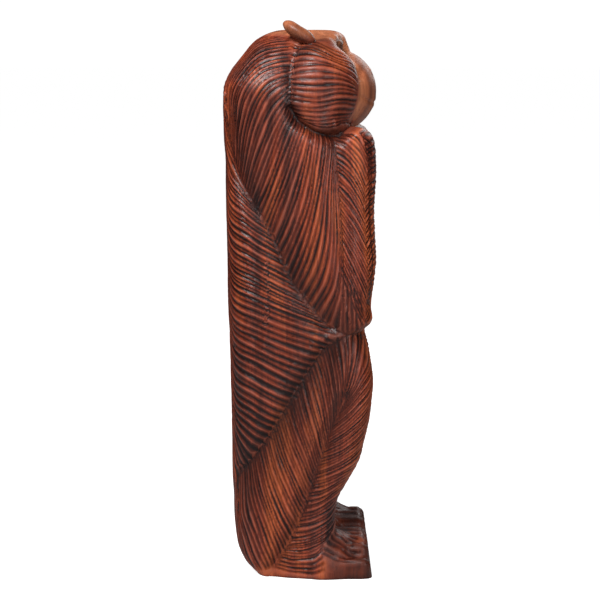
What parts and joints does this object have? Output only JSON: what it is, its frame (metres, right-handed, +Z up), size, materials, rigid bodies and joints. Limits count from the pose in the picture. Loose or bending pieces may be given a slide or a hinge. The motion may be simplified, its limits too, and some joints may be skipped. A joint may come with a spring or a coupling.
{
  "type": "wooden monkey sculpture",
  "caption": "Carved hardwood monkey that squats upright with its chin on its fists, with long locks of fur all over and a flat underside to stand on.",
  "frame": {"origin": "middle of the flat underside, at the bottom of the figure's box", "axes": "+Z up along the log; the face and toes look along -Y, and the figure's right arm is on the -X side"},
  "size_m": [0.15, 0.138, 0.5],
  "materials": {
    "wood": "oiled red-brown hardwood with a satin shine, dark in the carved grooves"
  },
  "bodies": {
    "root": {"carved_monkey": "wood"}
  },
  "joints": []
}
